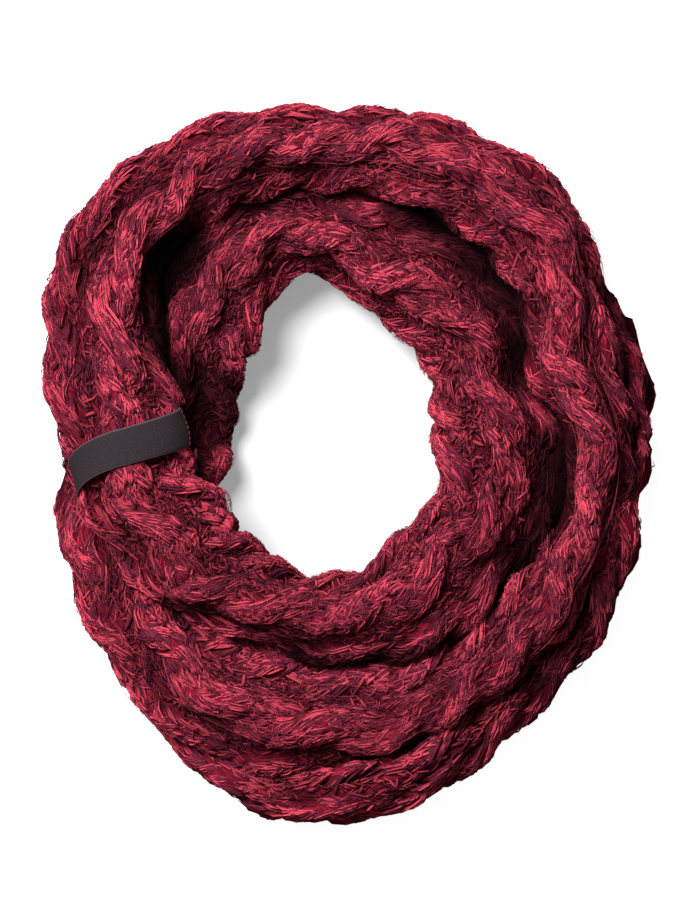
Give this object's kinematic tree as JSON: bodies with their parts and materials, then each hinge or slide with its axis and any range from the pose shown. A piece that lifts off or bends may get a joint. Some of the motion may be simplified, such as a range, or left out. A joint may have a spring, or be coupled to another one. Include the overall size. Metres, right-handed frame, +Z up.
{
  "type": "infinity scarf",
  "caption": "Closed-loop cable-knit infinity scarf, wound double and laid flat as a soft ring with an open middle and a bare woven label strip.",
  "frame": {"origin": "on the surface that the scarf lies on, below the middle of its box seen from above", "axes": "+Z up from the surface; +Y from the bottom of the picture to its top, the long way of the ring; +X to the right of the picture, away from the label"},
  "size_m": [0.3158, 0.372, 0.078],
  "materials": {
    "marled_knit": "brushed chunky knit in bright red and dark plum strands",
    "woven_label": "matt charcoal woven tape"
  },
  "bodies": {
    "root": {"left_stretch": "marled_knit", "upper_left_stretch": "marled_knit", "upper_right_stretch": "marled_knit", "right_stretch": "marled_knit", "lower_right_stretch": "marled_knit", "lower_left_stretch": "marled_knit", "under_left_stretch": "marled_knit", "inner_upper_left_stretch": "marled_knit", "inner_upper_right_stretch": "marled_knit", "inner_right_stretch": "marled_knit", "inner_bottom_stretch": "marled_knit", "rising_stretch": "marled_knit", "right_lower_fold": "marled_knit", "bottom_lower_fold": "marled_knit", "label_band": "woven_label"}
  },
  "joints": []
}
